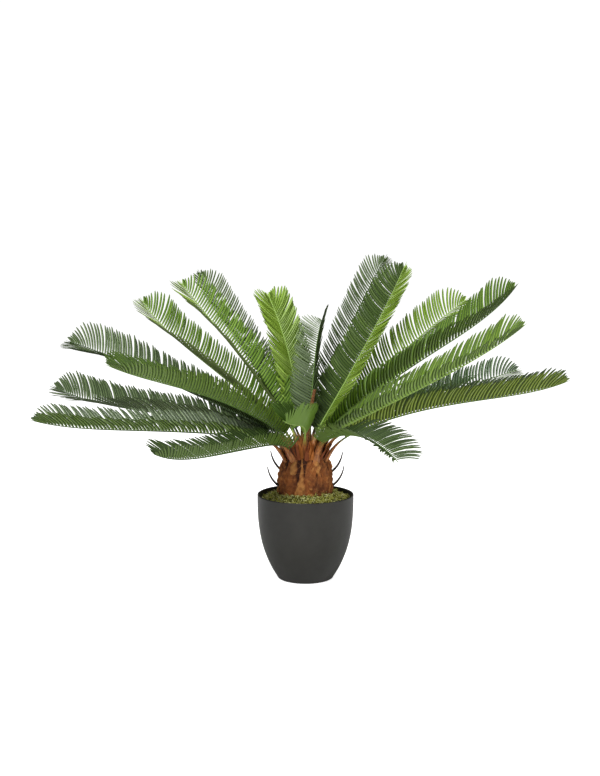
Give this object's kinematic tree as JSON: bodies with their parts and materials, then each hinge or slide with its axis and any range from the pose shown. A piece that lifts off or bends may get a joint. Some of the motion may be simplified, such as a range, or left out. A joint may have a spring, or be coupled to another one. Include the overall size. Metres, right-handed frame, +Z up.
{
  "type": "artificial sago palm in a pot",
  "caption": "Artificial sago palm with a rosette of arching feathery fronds on a short scaly trunk, standing in moss in a plain round grey pot.",
  "frame": {"origin": "centre of the pot's flat underside", "axes": "+Z up along the trunk, +X to the right and -Y towards the viewer in the pictured view"},
  "size_m": [1.0953, 0.8568, 0.676],
  "materials": {
    "pot": "matte",
    "moss": "rough",
    "trunk": "rough",
    "frond": "satin",
    "spine": "matte",
    "shoot": "rough"
  },
  "bodies": {
    "root": {"pot": "pot", "moss_filling": "moss", "trunk": "trunk", "centre_shoot": "shoot", "frond_front_left": "frond", "frond_front": "frond", "frond_front_right": "frond", "frond_left_1": "frond", "frond_left_2": "frond", "frond_left_3": "frond", "frond_left_4": "frond", "frond_left_5": "frond", "frond_left_6": "frond", "frond_right_1": "frond", "frond_right_2": "frond", "frond_right_3": "frond", "frond_right_4": "frond", "frond_right_5": "frond", "frond_right_6": "frond", "frond_back_1": "frond", "frond_back_2": "frond", "frond_back_3": "frond", "frond_back_4": "frond", "frond_back_5": "frond", "frond_back_6": "frond", "frond_back_7": "frond", "frond_back_8": "frond", "frond_back_9": "frond", "spine_1": "spine", "spine_2": "spine", "spine_3": "spine", "spine_4": "spine", "spine_5": "spine", "spine_6": "spine", "spine_7": "spine", "spine_8": "spine"}
  },
  "joints": []
}
